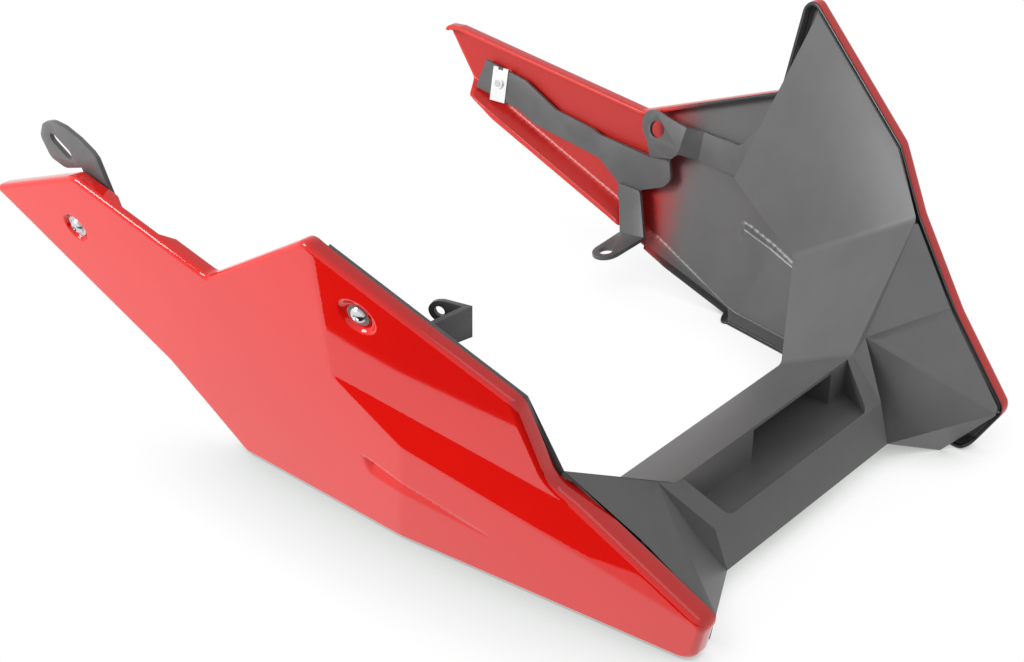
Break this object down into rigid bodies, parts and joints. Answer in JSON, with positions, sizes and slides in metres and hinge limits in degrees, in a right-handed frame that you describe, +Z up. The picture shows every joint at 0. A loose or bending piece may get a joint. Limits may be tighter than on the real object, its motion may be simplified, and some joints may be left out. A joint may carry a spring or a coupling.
{
  "type": "motorcycle belly pan",
  "caption": "Motorcycle belly pan of red moulded side panels and a black front keel, with folded steel brackets, button-head screws and clip nuts.",
  "frame": {"origin": "middle of the bounding box's footprint, on the plane the pan stands on", "axes": "+X to the motorcycle's front, +Y to the rider's left, +Z up; the pan stands on its bottom edges as in the picture"},
  "size_m": [0.5754, 0.498, 0.2429],
  "materials": {
    "red_gloss_plastic": "red gloss, overspray inside",
    "black_plastic": "satin black moulded",
    "bracket_steel": "satin dark grey",
    "screw_steel": "bright, smooth",
    "washer_steel": "bright, smooth",
    "clip_steel": "zinc plated"
  },
  "bodies": {
    "root": {"right_side_panel": "red_gloss_plastic", "left_side_panel": "red_gloss_plastic", "front_keel": "black_plastic", "right_rear_bracket": "bracket_steel", "right_front_bracket": "bracket_steel", "left_main_bracket": "bracket_steel", "left_lower_leg": "bracket_steel", "rear_panel_screws": "screw_steel", "right_front_screw": "screw_steel", "left_front_screw": "screw_steel", "panel_washers": "washer_steel", "right_rear_clip_nut": "clip_steel", "left_rear_clip_nut": "clip_steel", "left_front_clip_nut": "clip_steel", "right_front_weld_nut": "screw_steel"}
  },
  "joints": []
}
